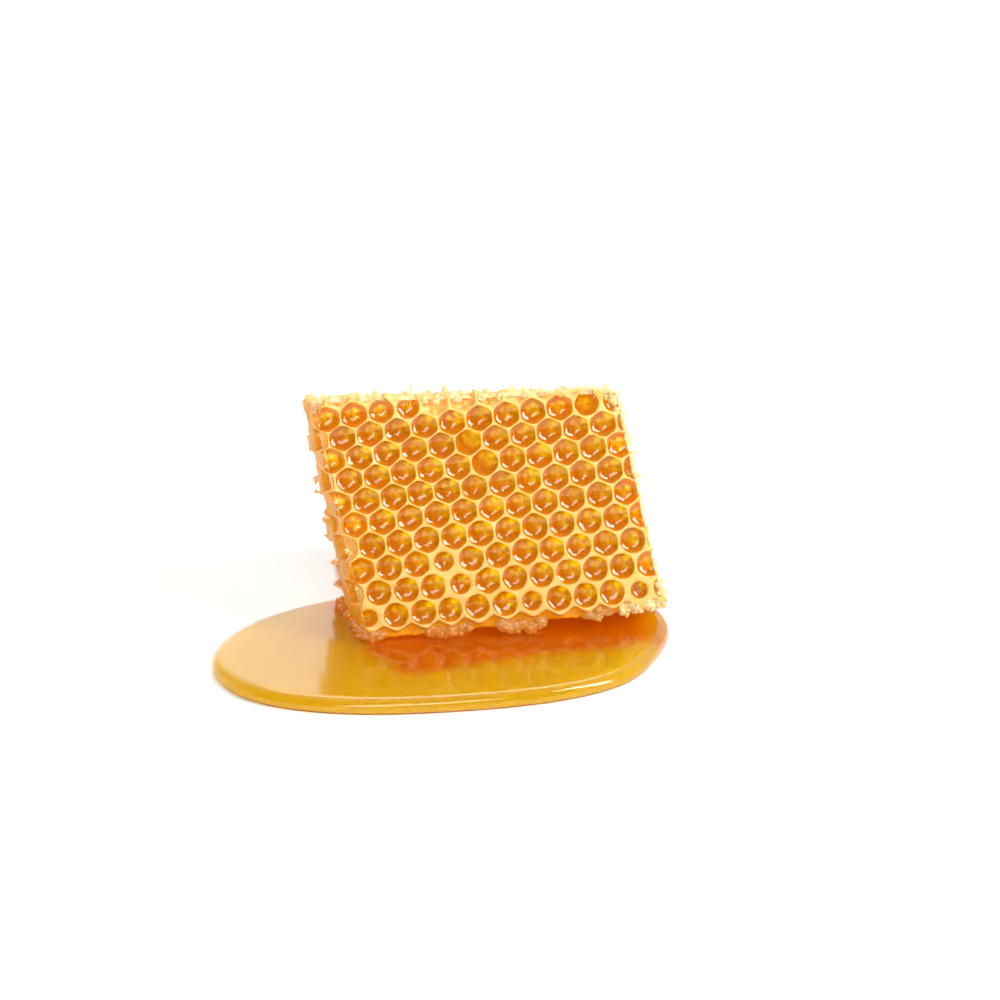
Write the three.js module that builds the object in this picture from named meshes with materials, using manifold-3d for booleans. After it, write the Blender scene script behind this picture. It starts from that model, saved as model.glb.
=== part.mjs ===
// Cut piece of honeycomb standing, leaning a little backwards, in a pool of the honey that ran out of it.
// Millimetres, +Z up. X runs along the comb's width and +Y away from its front face.
// The origin is the middle of the whole part's footprint, on the surface that it stands on.

import * as THREE from 'three';
import { mergeVertices } from 'three/addons/utils/BufferGeometryUtils.js';
import Module from 'manifold-3d';

const wasm = await Module();
wasm.setup();

// ---- Driving dimensions -------------------------------------------------------------------------

const DEGREE = Math.PI / 180;

// The slab. Its face has its own axes: u along the width, v up the face, w into the comb.
// u and v start at the lower left corner of the front face.
const THICKNESS = 25;
const LEAN = 17 * DEGREE;
const CORNER_HEIGHT = 3.6;
const BOTTOM_LEFT = new THREE.Vector2( 0, 0 );
const BOTTOM_RIGHT = new THREE.Vector2( 58.9, 3.3 );
const TOP_RIGHT = new THREE.Vector2( 51, 46.1 );
const TOP_LEFT = new THREE.Vector2( - 8.6, 46.7 );
const UNDERSIDE_FALL = 0.4; // drop of the underside per millimetre towards the back

// The cells. Rows are counted from the bottom, and fan out and close up a little towards the top.
const CELL_PITCH = 5.36;
const CELL_WIDTH = 4.5; // across flats
const CELL_WIDTH_SPREAD = 0.18;
const ROW_SCATTER = 12.99; // these three mix a cell's row and column into its width
const COLUMN_SCATTER = 78.23;
const SCATTER_SPREAD = 43758.5;
const FIRST_CELL_U = 0.3;
const ROW_LEAN = 0.095; // shift of the rows to the left per millimetre up the face
const ROW_MIDDLE_U = 25;
const FIRST_ROW_V = 5.6;
const ROW_STEP = 4.9;
const ROW_STEP_LOSS = 0.035;
const FIRST_ROW_ANGLE = 3.4 * DEGREE;
const ROW_ANGLE_GAIN = 0.2 * DEGREE;
const LOWEST_ROW = - 1;
const HIGHEST_ROW = 10;
const FIRST_COLUMN = - 3;
const LAST_COLUMN = 13;
const HONEY_LEVEL = 1.3; // depth of the honey below the cells' rims and the cut sides
const MIDRIB = 0.8; // wall between the cells of the two faces
const NICK = 0.25; // a cell is left shut where its middle lies further out, as a share of its radius

// The pool.
const POOL_HEIGHT = 3;
const POOL_RIM_RADIUS = 1.9;
const POOL_RIM_SEGMENTS = 4;
const POOL_POINTS = 56;
const POOL_OUTLINE = [
	[ - 30.8, - 4 ], [ - 24.5, - 18.6 ], [ - 8, - 26.8 ], [ 12, - 28.6 ], [ 33, - 26.9 ], [ 48.5, - 20 ],
	[ 56.5, - 7 ], [ 61, 6 ], [ 55, 21 ], [ 36, 29.5 ], [ 12, 29.5 ], [ - 12, 22.8 ], [ - 26.5, 10.5 ],
];

const CLEARANCE = 0.3; // between the comb's foot and the honey round it
const REACH = 200; // size of the blocks that cut along a plane

const WAX_COLOR = 0xf0c468;
const WAX_ROUGHNESS = 0.45;
const HONEY_COLOR = 0xe0a020;
const HONEY_ROUGHNESS = 0.08;

// ---- Solids -------------------------------------------------------------------------------------

function toSolid( geometry ) {

	const bare = geometry.clone();
	bare.deleteAttribute( 'normal' );
	bare.deleteAttribute( 'uv' );
	const merged = mergeVertices( bare );
	const mesh = new wasm.Mesh( {
		numProp: 3,
		vertProperties: merged.attributes.position.array,
		triVerts: Uint32Array.from( merged.index.array ),
	} );
	return new wasm.Manifold( mesh );

}

function toGeometry( solid ) {

	const mesh = solid.getMesh();
	const geometry = new THREE.BufferGeometry();
	geometry.setAttribute( 'position', new THREE.BufferAttribute( mesh.vertProperties, 3 ) );
	geometry.setIndex( new THREE.BufferAttribute( mesh.triVerts, 1 ) );
	geometry.computeVertexNormals();
	return geometry;

}

// A block whose upper side is the plane through a point, square to a normal.
function blockUnderPlane( point, normal ) {

	const block = new THREE.BoxGeometry( REACH, REACH, REACH );
	block.translate( 0, 0, - REACH / 2 );
	const up = new THREE.Vector3( 0, 0, 1 );
	block.applyQuaternion( new THREE.Quaternion().setFromUnitVectors( up, normal ) );
	block.translate( point.x, point.y, point.z );
	return toSolid( block );

}

const table = blockUnderPlane( new THREE.Vector3(), new THREE.Vector3( 0, 0, 1 ) );

// ---- The comb -----------------------------------------------------------------------------------

// From the face's own axes to the part's: the slab leans back about its lower front edge.
const combPlacement = new THREE.Matrix4().makeBasis(
	new THREE.Vector3( 1, 0, 0 ),
	new THREE.Vector3( 0, Math.sin( LEAN ), Math.cos( LEAN ) ),
	new THREE.Vector3( 0, Math.cos( LEAN ), - Math.sin( LEAN ) ),
).setPosition( 0, 0, CORNER_HEIGHT );

// The face's axes are left-handed, so placing a shape turns its triangles round: they are turned back.
function placeOnComb( geometry ) {

	const placed = ( geometry.index ? geometry.toNonIndexed() : geometry ).applyMatrix4( combPlacement );
	const positions = placed.attributes.position;
	const second = new THREE.Vector3();
	const third = new THREE.Vector3();
	for ( let first = 0; first < positions.count; first += 3 ) {

		second.fromBufferAttribute( positions, first + 1 );
		third.fromBufferAttribute( positions, first + 2 );
		positions.setXYZ( first + 1, third.x, third.y, third.z );
		positions.setXYZ( first + 2, second.x, second.y, second.z );

	}
	return placed;

}

function onFace( corner ) {

	return new THREE.Vector3( corner.x, corner.y, 0 ).applyMatrix4( combPlacement );

}

const corners = [ BOTTOM_LEFT, BOTTOM_RIGHT, TOP_RIGHT, TOP_LEFT ];

// The outward direction of the side of the face that starts at a corner.
function outwardsFrom( index ) {

	const start = corners[ index % corners.length ];
	const end = corners[ ( index + 1 ) % corners.length ];
	return new THREE.Vector2( end.y - start.y, start.x - end.x ).normalize();

}

// Signed distance from a point of the face to its nearest side: positive inside.
function insetOf( point ) {

	return Math.min( ...corners.map(
		( corner, index ) => outwardsFrom( index ).dot( corner.clone().sub( point ) ) ) );

}

// The slab, grown on every side by a margin, or shrunk where it is negative.
function makeSlab( margin ) {

	const outline = corners.map( ( corner, index ) => {

		const before = outwardsFrom( index + corners.length - 1 );
		const after = outwardsFrom( index );
		const growth = before.clone().add( after ).multiplyScalar( margin / ( 1 + before.dot( after ) ) );
		return growth.add( corner );

	} );
	const slab = new THREE.ExtrudeGeometry( new THREE.Shape( outline ), {
		depth: THICKNESS + 2 * margin,
		bevelEnabled: false,
	} );
	slab.translate( 0, 0, - margin );

	const left = onFace( BOTTOM_LEFT );
	const frontEdge = onFace( BOTTOM_RIGHT ).sub( left );
	const backwards = new THREE.Vector3( 0, 1, - UNDERSIDE_FALL );
	const underside = frontEdge.cross( backwards ).normalize();
	const down = left.clone().addScaledVector( underside, - margin );
	return toSolid( placeOnComb( slab ) ).subtract( blockUnderPlane( down, underside ) );

}

// A number from -1 to 1 that looks random but is always the same for a cell.
function unevenness( row, column ) {

	const scattered = Math.sin( ROW_SCATTER * row + COLUMN_SCATTER * column ) * SCATTER_SPREAD;
	return 2 * ( scattered - Math.floor( scattered ) ) - 1;

}

// The middles of the cells of one face. The back face's cells are set off by a third of a cell,
// so that each one ends against three of the front's.
function cellMiddles( isBack ) {

	const cells = [];
	const backShift = isBack ? CELL_PITCH / Math.sqrt( 3 ) : 0;
	for ( let row = LOWEST_ROW; row <= HIGHEST_ROW; row ++ ) {

		const middleV = FIRST_ROW_V + ROW_STEP * row - ROW_STEP_LOSS * row * row;
		const startU = FIRST_CELL_U - ROW_LEAN * ( middleV - FIRST_ROW_V );
		const angle = FIRST_ROW_ANGLE + ROW_ANGLE_GAIN * row;
		const startV = middleV - ( ROW_MIDDLE_U - startU ) * Math.tan( angle ) + backShift;
		for ( let column = FIRST_COLUMN; column <= LAST_COLUMN; column ++ ) {

			const along = ( column + ( row % 2 ? 0.5 : 0 ) ) * CELL_PITCH;
			cells.push( {
				middle: new THREE.Vector2( startU + along * Math.cos( angle ), startV + along * Math.sin( angle ) ),
				angle,
				width: CELL_WIDTH + CELL_WIDTH_SPREAD * unevenness( row, column ),
			} );

		}

	}
	return cells;

}

// A six-sided hole with a point at its top, from one depth of the comb to another.
function cellHole( cell, fromDepth, toDepth ) {

	const radius = cell.width / Math.sqrt( 3 );
	const hole = new THREE.CylinderGeometry( radius, radius, toDepth - fromDepth, 6 );
	hole.rotateX( Math.PI / 2 );
	hole.rotateZ( cell.angle );
	hole.translate( cell.middle.x, cell.middle.y, ( fromDepth + toDepth ) / 2 );
	return toSolid( placeOnComb( hole ) );

}

// How deep a cell is open. A whole one is, down to its honey. A side cuts others open, down to the
// midrib, and one that the side only nicks is left shut.
function openDepth( cell ) {

	const inset = insetOf( cell.middle );
	const radius = cell.width / 2;
	if ( inset < - NICK * radius ) {

		return 0;

	}
	return inset > radius ? HONEY_LEVEL : ( THICKNESS - MIDRIB ) / 2;

}

// The honey that stays in the cut cells is a core that stops short of every face and side.
function makeComb() {

	let wax = makeSlab( 0 );
	for ( const isBack of [ false, true ] ) {

		for ( const cell of cellMiddles( isBack ) ) {

			const depth = openDepth( cell );
			if ( depth > 0 ) {

				wax = wax.subtract( isBack
					? cellHole( cell, THICKNESS - depth, THICKNESS + HONEY_LEVEL )
					: cellHole( cell, - HONEY_LEVEL, depth ) );

			}

		}

	}
	return wax.add( makeSlab( - HONEY_LEVEL ) ).subtract( table );

}

// ---- The pool -----------------------------------------------------------------------------------

// Flat on top and below, with a rounded rim all the way round, and cut out for the comb's foot.
function makePool() {

	const route = new THREE.CatmullRomCurve3(
		POOL_OUTLINE.map( ( [ x, y ] ) => new THREE.Vector3( x, y, 0 ) ), true, 'centripetal' );
	const outline = route.getSpacedPoints( POOL_POINTS ).slice( 0, POOL_POINTS );
	const puddle = new THREE.ExtrudeGeometry( new THREE.Shape( outline ), {
		depth: POOL_HEIGHT - POOL_RIM_RADIUS,
		bevelThickness: POOL_RIM_RADIUS,
		bevelSize: POOL_RIM_RADIUS,
		bevelOffset: - POOL_RIM_RADIUS,
		bevelSegments: POOL_RIM_SEGMENTS,
	} );
	return toSolid( puddle ).subtract( table ).subtract( makeSlab( CLEARANCE ) );

}

// ---- The part -----------------------------------------------------------------------------------

function makeMesh( name, solid, color, roughness ) {

	const material = new THREE.MeshStandardMaterial( { color, roughness, metalness: 0 } );
	const mesh = new THREE.Mesh( toGeometry( solid ), material );
	mesh.name = name;
	return mesh;

}

const part = new THREE.Group();
part.add( makeMesh( 'comb', makeComb(), WAX_COLOR, WAX_ROUGHNESS ) );
part.add( makeMesh( 'honey_pool', makePool(), HONEY_COLOR, HONEY_ROUGHNESS ) );

const box = new THREE.Box3().setFromObject( part );
const footprintMiddle = box.getCenter( new THREE.Vector3() );
part.position.set( - footprintMiddle.x, - footprintMiddle.y, - box.min.z );

export default part;
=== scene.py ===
"""Cut piece of honeycomb, its cells full of honey, standing in a pool of the honey that ran out of it."""

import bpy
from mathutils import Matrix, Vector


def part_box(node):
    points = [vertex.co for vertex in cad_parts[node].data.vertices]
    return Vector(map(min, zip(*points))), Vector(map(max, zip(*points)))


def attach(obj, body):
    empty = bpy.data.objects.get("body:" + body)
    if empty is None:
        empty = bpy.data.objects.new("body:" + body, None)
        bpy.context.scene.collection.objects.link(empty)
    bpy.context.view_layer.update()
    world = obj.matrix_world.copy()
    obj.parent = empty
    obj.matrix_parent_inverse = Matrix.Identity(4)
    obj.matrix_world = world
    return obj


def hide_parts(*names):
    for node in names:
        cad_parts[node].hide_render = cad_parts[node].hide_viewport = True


bl_info = {
    "name": "Honeycomb piece",
    "version": (1, 0, 0),
    "blender": (4, 5, 0),
    "location": "3D View > Sidebar > Honeycomb",
    "description": "Makes a cut piece of honeycomb standing in a pool of honey",
    "category": "Add Mesh",
}

import math
from random import Random

import bmesh
import bpy
from bmesh.types import BMEdge, BMFace, BMVert
from bpy.props import FloatProperty, FloatVectorProperty, PointerProperty
from mathutils import Matrix, Vector, noise

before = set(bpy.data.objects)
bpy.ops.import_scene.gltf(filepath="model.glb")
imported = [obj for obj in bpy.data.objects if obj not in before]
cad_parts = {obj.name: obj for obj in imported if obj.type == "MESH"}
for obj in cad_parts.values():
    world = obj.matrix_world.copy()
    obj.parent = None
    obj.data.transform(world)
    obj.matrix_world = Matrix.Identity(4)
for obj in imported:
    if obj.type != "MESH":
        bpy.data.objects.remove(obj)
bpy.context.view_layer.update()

MM = 0.001
SEED = 7

# ---- The comb's plan, in millimetres: u along its face, v up the face, depth into the comb ----

BOTTOM_LEFT = Vector((0, 0))
BOTTOM_RIGHT = Vector((58.9, 3.3))
TOP_RIGHT = Vector((51, 46.1))
TOP_LEFT = Vector((-8.6, 46.7))
CORNERS = (BOTTOM_LEFT, BOTTOM_RIGHT, TOP_RIGHT, TOP_LEFT)
CORNER_HEIGHT = 3.6
UNDERSIDE_FALL = 0.4

FIRST_CELL_U = 0.3
ROW_LEAN = 0.095
ROW_MIDDLE_U = 25
FIRST_ROW_V = 5.5
ROW_STEP = 4.9
ROW_STEP_LOSS = 0.039
FIRST_ROW_ANGLE = math.radians(3.0)
ROW_ANGLE_GAIN = math.radians(0.3)
ROWS = range(-2, 12)
COLUMNS = range(-4, 15)
ROW_RATIO = math.sqrt(3) / 2

RIGHT_CUT, TOP_CUT, LEFT_CUT, UPPER_LEFT_CUT = 1, 2, 3, 4
LEFT_TRIM = 0.1
LEFT_LEAN = 0.12
UPPER_LEFT_OUTWARDS = Vector((-1, -0.04, -0.141))

# How far inside the cut a cell's middle lies: whole cells, cells cut away, and cells torn shut.
SOUND_INSET = 0.1
LOST_INSET = -2.2
TORN_INSET = 1.3

# How uneven the cells are.
WANDER = 0.35
WANDER_SIZE = 6
BACK_SEED = 11.0
MOUTH_SPREAD = 0.025
LOW_ROW_LOSS = 0.07
LOW_ROWS = 1.5
LEAST_RADIUS = 2.2
ROUNDNESS = 0.45

# Rings of wax from a cell's rim inwards, each as its width and its depth under the last one.
RIM_RING = (0.08, -0.05)
MOUTH_RING = (0.05, 0.06)
THROAT_RING = (0.03, 0.12)
CRUSHED_RINGS = ((0.3, 0.3), (0.35, 1.2))
SUNK_RINGS = ((0.25, 0.25), (0.15, 1.2))
WALL_RING = 0.03
WALL_SHARES = (0.14, 0.24, 0.30, 0.30)
FOOT_RING = 0.12
FOOT_SHARE = 0.04
OPENED_STEPS = 6
OPENED_RING = 0.01
MIDDLE_WAX = 0.9
INNER_RING = 0.95
CELL_SLOPE = Vector((1.1, 0, 0.8))
HALF_OVERLAP = 1.5

# How stained with honey the wax is, from 0 to 1.
RIM_STAIN = 0.25
THROAT_STAIN = 0.9
OPENED_STAIN = 0.6
LEFT_STAIN = 0.62
SIDE_STAIN = 0.3
UNDERSIDE_STAIN = 1.1

BASE_SLOPE = 0.4
FACET_TURN = math.radians(40)
FACET_TURN_SPREAD = 0.5
# Painted light at the cells' bases: how bright it is in opened cells, the side where it is brightest, how
# bright at each base's deepest point, and how close to a cut it fades.
OPENED_BRIGHTNESS = 0.3
BRIGHT_SIDE = math.radians(50)
TIP_BRIGHTNESS = 0.35
DIM_NEAR_CUT = 1.0

WELD = 0.01
CUT_GRID = 2
GRID_SHIFT = 0.37
STEEP = 0.7
CORNER_ROUNDING = 3.5
# How ragged each cut side is: how much is lost all along it, in coarse bites and in fine ones.
LEFT_RISE = (0.0, 0.9, 0.5)
RISES = {RIGHT_CUT: (0.1, 0.9, 0.5), TOP_CUT: (0.4, 1.5, 0.7), LEFT_CUT: LEFT_RISE, UPPER_LEFT_CUT: LEFT_RISE}
OTHER_RISE = (0.0, 0.4, 0.3)

# Cells, by row and column, that the bees built narrow, and cells that are full to the brim.
NARROW_CELLS = {(2, 3): 0.8, (1, 3): 0.84, (0, 0): 0.76, (0, 6): 0.84, (0, 10): 0.72}
BRIMMING_CELLS = {(7, 4), (6, 5), (8, 9)}
# Rows whose cut cell on the left is smeared shut with wax.
SMEARED_ROWS = {1, 3, 6, 8}


def comb_settings():
    return bpy.context.scene.comb_settings


def pool_settings():
    return bpy.context.scene.pool_settings


def stage_settings():
    return bpy.context.scene.stage_settings


# ---- Settings ----


def length(name, description, default):
    return FloatProperty(name=name, description=description, default=default, unit="LENGTH", precision=5)


def angle(name, description, degrees):
    return FloatProperty(name=name, description=description, default=math.radians(degrees), subtype="ANGLE")


def amount(name, description, default):
    return FloatProperty(name=name, description=description, default=default)


def color(name, description, default):
    return FloatVectorProperty(
        name=name, description=description, default=default, subtype="COLOR", size=3, min=0, max=1
    )


class CombSettings(bpy.types.PropertyGroup):
    lean: angle("Lean", "How far the comb leans back", 17)
    thickness: length("Thickness", "From the front cells' rims to the back cells'", 25 * MM)
    cell_pitch: length("Cell pitch", "From the middle of a cell to the next one's", 5.36 * MM)
    mouth: length("Cell mouth", "Mean width of a cell's mouth", 5.2 * MM)
    cell_depth: length("Cell depth", "Depth of a whole cell", 4.8 * MM)
    honey_level: length("Honey level", "Depth of the honey's edge under a cell's rim", 0.38 * MM)
    wax_color: color("Wax", "Clean dry wax", (0.84, 0.44, 0.09))
    pale_wax_color: color("Pale wax", "The palest wax, where it is thick", (0.89, 0.61, 0.21))
    torn_color: color("Torn wax", "Thin torn wax", (0.87, 0.71, 0.43))
    crumb_color: color("Soaked crumbs", "Grains in the soaked wax", (0.93, 0.72, 0.36))
    soaked_color: color("Soaked wax", "Crumbly wax full of honey", (0.93, 0.47, 0.05))
    wall_color: color("Cell wall", "Wax seen through honey on a cell's walls", (0.69, 0.25, 0.003))
    # Painted light: the bright yellow painted on the cells' bases as if lit through the comb, and the painted
    # glow (emission) on the walls and bases.
    painted_base_light_color: color("Cell base", "Wax seen through honey at the bottom of a cell", (0.88, 0.60, 0.006))
    painted_wall_glow: color("Wall glow", "Light that comes through the comb to a cell's walls", (0.235, 0.094, 0.0))
    painted_base_glow: color("Base glow", "Light that comes through the comb to a cell's base", (0.60, 0.49, 0.0))
    honey_color: color("Honey", "Tint of the honey in the cells", (1.0, 0.88, 0.12))


class PoolSettings(bpy.types.PropertyGroup):
    height: length("Height", "Height of the honey's surface", 3 * MM)
    rim_radius: length("Rim radius", "Radius of the pool's rounded rim", 1.9 * MM)
    color: color("Honey", "What the honey lets through", (0.987, 0.901, 0.015))
    # Painted shadow of the comb on the pool: its tint and how far in front of the comb it reaches.
    shade_color: color("Shaded honey", "Tint of the honey that the comb shades", (1.0, 0.33, 0.008))
    shade_reach: length("Shade reach", "How far in front of the comb the honey is shaded", 20 * MM)
    density: amount("Density", "How fast the honey takes up light", 760)


class StageSettings(bpy.types.PropertyGroup):
    floor_color: color("Floor", "Colour of the floor", (0.95, 0.95, 0.95))
    front_light: amount("Front light", "Brightness of the room in front", 0.20)
    back_light: amount("Back light", "Brightness of the room behind", 2.2)
    camera_azimuth: angle("Camera azimuth", "Turn of the camera round the comb", -8)
    camera_elevation: angle("Camera elevation", "Height angle of the camera", 20)
    camera_distance: length("Camera distance", "From the comb's lower left corner", 550 * MM)


# ---- Places on the comb ----


def comb_corner(height):
    """The comb's lower left corner in the frame, at a height in metres."""
    low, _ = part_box("comb")
    return Vector((low.x - TOP_LEFT.x * MM, low.y, height))


def comb_placement():
    """From the comb's plan (u, depth, v) in millimetres to the frame in metres."""
    lean = Matrix.Rotation(-comb_settings().lean, 4, "X")
    return Matrix.Translation(comb_corner(CORNER_HEIGHT * MM)) @ lean @ Matrix.Scale(MM, 4)


def in_plan(place, depth=0):
    """A place on the face, (u, v), as a place in the comb's plan, (u, depth, v)."""
    return Vector((place.x, depth, place.y))


def outwards_from(index):
    """Outward direction of the side of the face that starts at a corner."""
    along = CORNERS[(index + 1) % 4] - CORNERS[index]
    return Vector((along.y, -along.x)).normalized()


def distance_inside(index, place):
    """Distance from a place in the comb's plan to the side that starts at a corner: positive inside."""
    return outwards_from(index).dot(CORNERS[index] - Vector((place.x, place.z)))


def inset_of(place):
    """Distance from a place in the comb's plan to the face's nearest side: positive inside."""
    return min(distance_inside(index, place) for index in range(len(CORNERS)))


def face_point(column, row):
    """Middle of a cell on the face. The rows fan out and close up a little towards the top."""
    middle_v = FIRST_ROW_V + ROW_STEP * row - ROW_STEP_LOSS * row * row
    start_u = FIRST_CELL_U - ROW_LEAN * (middle_v - FIRST_ROW_V)
    angle = FIRST_ROW_ANGLE + ROW_ANGLE_GAIN * row
    along = column * comb_settings().cell_pitch / MM
    start_v = middle_v - (ROW_MIDDLE_U - start_u) * math.tan(angle)
    return Vector((start_u + along * math.cos(angle), start_v + along * math.sin(angle)))


def cutting_planes(inset=0.0):
    """The planes that the piece was cut along, as (point, outward direction) in the comb's plan."""
    planes = []
    for index in (RIGHT_CUT, TOP_CUT, LEFT_CUT):
        outwards = outwards_from(index)
        shift = -LEFT_TRIM - inset if index == LEFT_CUT else -inset
        lean_out = LEFT_LEAN if index == LEFT_CUT else 0
        planes.append((in_plan(CORNERS[index] + outwards * shift), in_plan(outwards, -lean_out).normalized()))
    upper_left = UPPER_LEFT_OUTWARDS.normalized()
    planes.append((in_plan(TOP_LEFT) - upper_left * inset, upper_left))
    lean = comb_settings().lean
    backwards = Vector((
        0, math.cos(lean) + UNDERSIDE_FALL * math.sin(lean), math.sin(lean) - UNDERSIDE_FALL * math.cos(lean)
    ))
    down = backwards.cross(in_plan(BOTTOM_RIGHT)).normalized()
    planes.append((-down * inset, down))
    floor_down = Vector((0, math.sin(lean), -math.cos(lean)))
    planes.append((floor_down * CORNER_HEIGHT, floor_down))
    return planes


# ---- Meshes ----


def uneven(place, size, seed=0.0):
    """Smooth noise from -1 to 1 at a place in millimetres, with bumps of about the given size."""
    return noise.noise(Vector(place) / size + Vector((seed, 3.1 * seed, 7.7 * seed)))


def cell_number(row, column, salt):
    """A number from 0 to 1 that looks random but is always the same for a cell."""
    return Random(row * 1009 + column * 31 + salt * 7919 + SEED).random()


def add_object(name, bm, material):
    mesh = bpy.data.meshes.new(name)
    bm.to_mesh(mesh)
    bm.free()
    mesh.materials.append(material)
    piece = bpy.data.objects.new(name, mesh)
    bpy.context.scene.collection.objects.link(piece)
    return piece


def new_piece(name, bm, slot, material, *replaced):
    """A finished piece from a mesh in the frame: it rides on the part's one body."""
    piece = add_object(name, bm, material)
    piece.data.shade_smooth()
    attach(piece, "root")
    for node in replaced:
        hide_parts(node)
    return piece


def subdivide(piece, levels):
    modifier = piece.modifiers.new("Rounded", "SUBSURF")
    modifier.levels = levels
    modifier.render_levels = levels


def only(items, kind):
    """The vertices, edges or faces among what an operator gives back."""
    return [item for item in items if isinstance(item, kind)]


def edges_of(faces):
    return list(dict.fromkeys(edge for face in faces for edge in face.edges))


def verts_of(faces):
    return list(dict.fromkeys(vert for face in faces for vert in face.verts))


def placed(bm):
    """A mesh in the comb's plan, brought to its place in the frame."""
    bm.transform(comb_placement())
    bmesh.ops.recalc_face_normals(bm, faces=bm.faces)
    return bm


def lay_tiles(bm, is_back):
    """One welded six-sided tile for each cell, its sides split in three, laid on the comb's face."""
    noise.seed_set(SEED)
    row_layer = bm.faces.layers.int.new("row")
    column_layer = bm.faces.layers.int.new("column")
    upright = Matrix.Rotation(math.radians(90), 4, "X")
    for row in ROWS:
        for column in COLUMNS:
            middle = Vector((column + row % 2 / 2, 0, row * ROW_RATIO))
            stand = Matrix.Translation(middle) @ upright
            ring = bmesh.ops.create_circle(
                bm, cap_ends=True, segments=6, radius=1 / math.sqrt(3), matrix=stand
            )["verts"]
            tile = ring[0].link_faces[0]
            tile[row_layer] = row
            tile[column_layer] = column
    bmesh.ops.remove_doubles(bm, verts=bm.verts, dist=WELD)
    bmesh.ops.subdivide_edges(bm, edges=bm.edges, cuts=2)
    back_shift = comb_settings().cell_pitch / MM / math.sqrt(3) if is_back else 0
    for vert in bm.verts:
        place = face_point(vert.co.x, vert.co.z / ROW_RATIO)
        place.y += back_shift
        seat = Vector((place.x / WANDER_SIZE, place.y / WANDER_SIZE, BACK_SEED * is_back))
        wander = noise.noise_vector(seat) * WANDER
        vert.co = Vector((place.x + wander.x, 0, place.y + wander.y))
    return row_layer, column_layer


def mouth_radius(row, column, is_back):
    """Mean radius of a cell's mouth: each one differs a little, and a few are narrow."""
    radius = comb_settings().mouth / MM / 2
    radius *= 1 + MOUTH_SPREAD * (2 * cell_number(row, column, 1 + is_back) - 1)
    radius *= 1 - LOW_ROW_LOSS * math.exp(-max(row, 0) / LOW_ROWS)
    if not is_back:
        radius *= NARROW_CELLS.get((row, column), 1.0)
    return radius


def room_for(cell):
    """The widest radius that keeps a cell's mouth whole under the cut along the top."""
    return max(LEAST_RADIUS, distance_inside(TOP_CUT, cell.calc_center_median()) + 0.2)


def round_mouth(face, radius):
    """Pulls a six-sided mouth towards a circle of the given radius."""
    middle = face.calc_center_median()
    for vert in face.verts:
        spoke = vert.co - middle
        vert.co = middle + spoke * (1 + ROUNDNESS * (radius / spoke.length - 1))
        if radius < spoke.length * 0.85:
            vert.co = middle + spoke.normalized() * radius * (1 + 0.03 * uneven(vert.co, 1.2))


def step_in(bm, faces, thickness, depth):
    """Insets every face on its own and sinks it, leaving a ring of wall round each."""
    bmesh.ops.inset_individual(bm, faces=faces, thickness=thickness, depth=-depth, use_even_offset=True)


def cut_off(bm, planes, cut_layer=None):
    """Cuts a closed mesh along planes and closes each cut."""
    for number, (point, outwards) in enumerate(planes):
        whole = bm.verts[:] + bm.edges[:] + bm.faces[:]
        cut = bmesh.ops.bisect_plane(
            bm, geom=whole, dist=0.0005, plane_co=point, plane_no=outwards, clear_outer=True
        )["geom_cut"]
        open_edges = [edge for edge in only(cut, BMEdge) if edge.is_boundary]
        verts = only(cut, BMVert)
        lid = bmesh.ops.triangle_fill(bm, use_beauty=True, edges=open_edges, normal=outwards)["geom"]
        if cut_layer is not None:
            verts += divide(bm, only(lid, BMFace), outwards)
            for vert in verts:
                vert[cut_layer] = number + 1


def divide(bm, faces, outwards):
    """Divides a flat cut into small faces, so that it can be made ragged. Gives the new vertices."""
    verts = []
    for axis in range(3):
        direction = Vector([float(index == axis) for index in range(3)])
        if abs(direction.dot(outwards)) > STEEP:
            continue
        corners = verts_of(faces)
        geom = faces + edges_of(faces) + corners
        places = [vert.co[axis] for vert in corners]
        for place in range(math.floor(min(places)) + 1, math.ceil(max(places)), CUT_GRID):
            result = bmesh.ops.bisect_plane(
                bm, geom=geom, dist=0.05, plane_co=direction * (place + GRID_SHIFT), plane_no=direction
            )
            geom = result["geom"]
            verts += only(result["geom_cut"], BMVert)
        faces = only(geom, BMFace)
    return verts


def face_the_back(bm):
    """Turns a front half into a back half, its cells opening backwards."""
    thickness = comb_settings().thickness / MM
    for vert in bm.verts:
        vert.co.y = thickness - vert.co.y
    bmesh.ops.reverse_faces(bm, faces=bm.faces)


# ---- The wax ----


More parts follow.
